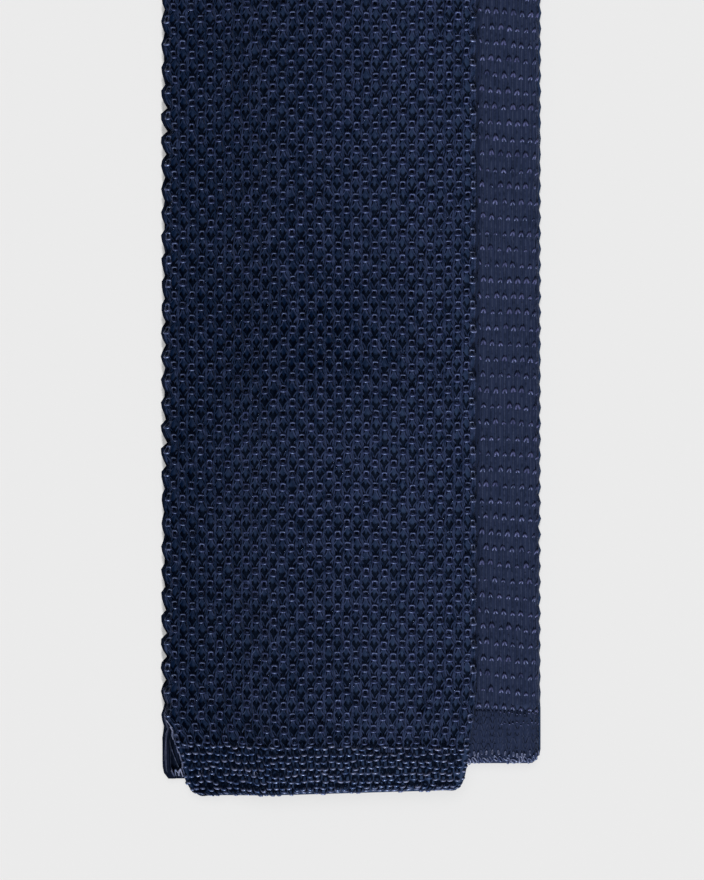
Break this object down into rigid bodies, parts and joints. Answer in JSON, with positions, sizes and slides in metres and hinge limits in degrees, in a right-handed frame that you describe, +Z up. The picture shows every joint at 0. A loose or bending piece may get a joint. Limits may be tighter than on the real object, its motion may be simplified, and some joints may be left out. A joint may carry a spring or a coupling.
{
  "type": "knit tie",
  "caption": "Knitted necktie folded in half and laid flat: wide square-ended blade with a figured face on top, narrower plain-backed tail beneath, offset to one side.",
  "frame": {"origin": "middle of the folded tie, on the floor it lies on", "axes": "+X to the tail's free side, +Y from the two ends to the fold, +Z up out of the blade's face"},
  "size_m": [0.0718, 0.737, 0.0114],
  "materials": {
    "figured_knit": "dark navy yarn in a raised chequered knit, matt with small glints",
    "plain_knit": "dark navy yarn in a flat rib knit, matt",
    "band_knit": "dark navy yarn in a fine close knit, matt"
  },
  "bodies": {
    "root": {"blade_front": "figured_knit", "blade_hem": "band_knit", "blade_back": "plain_knit", "tail_back": "plain_knit", "tail_back_hem": "band_knit", "tail_front": "figured_knit", "tail_hem": "band_knit", "neckband": "plain_knit"}
  },
  "joints": []
}
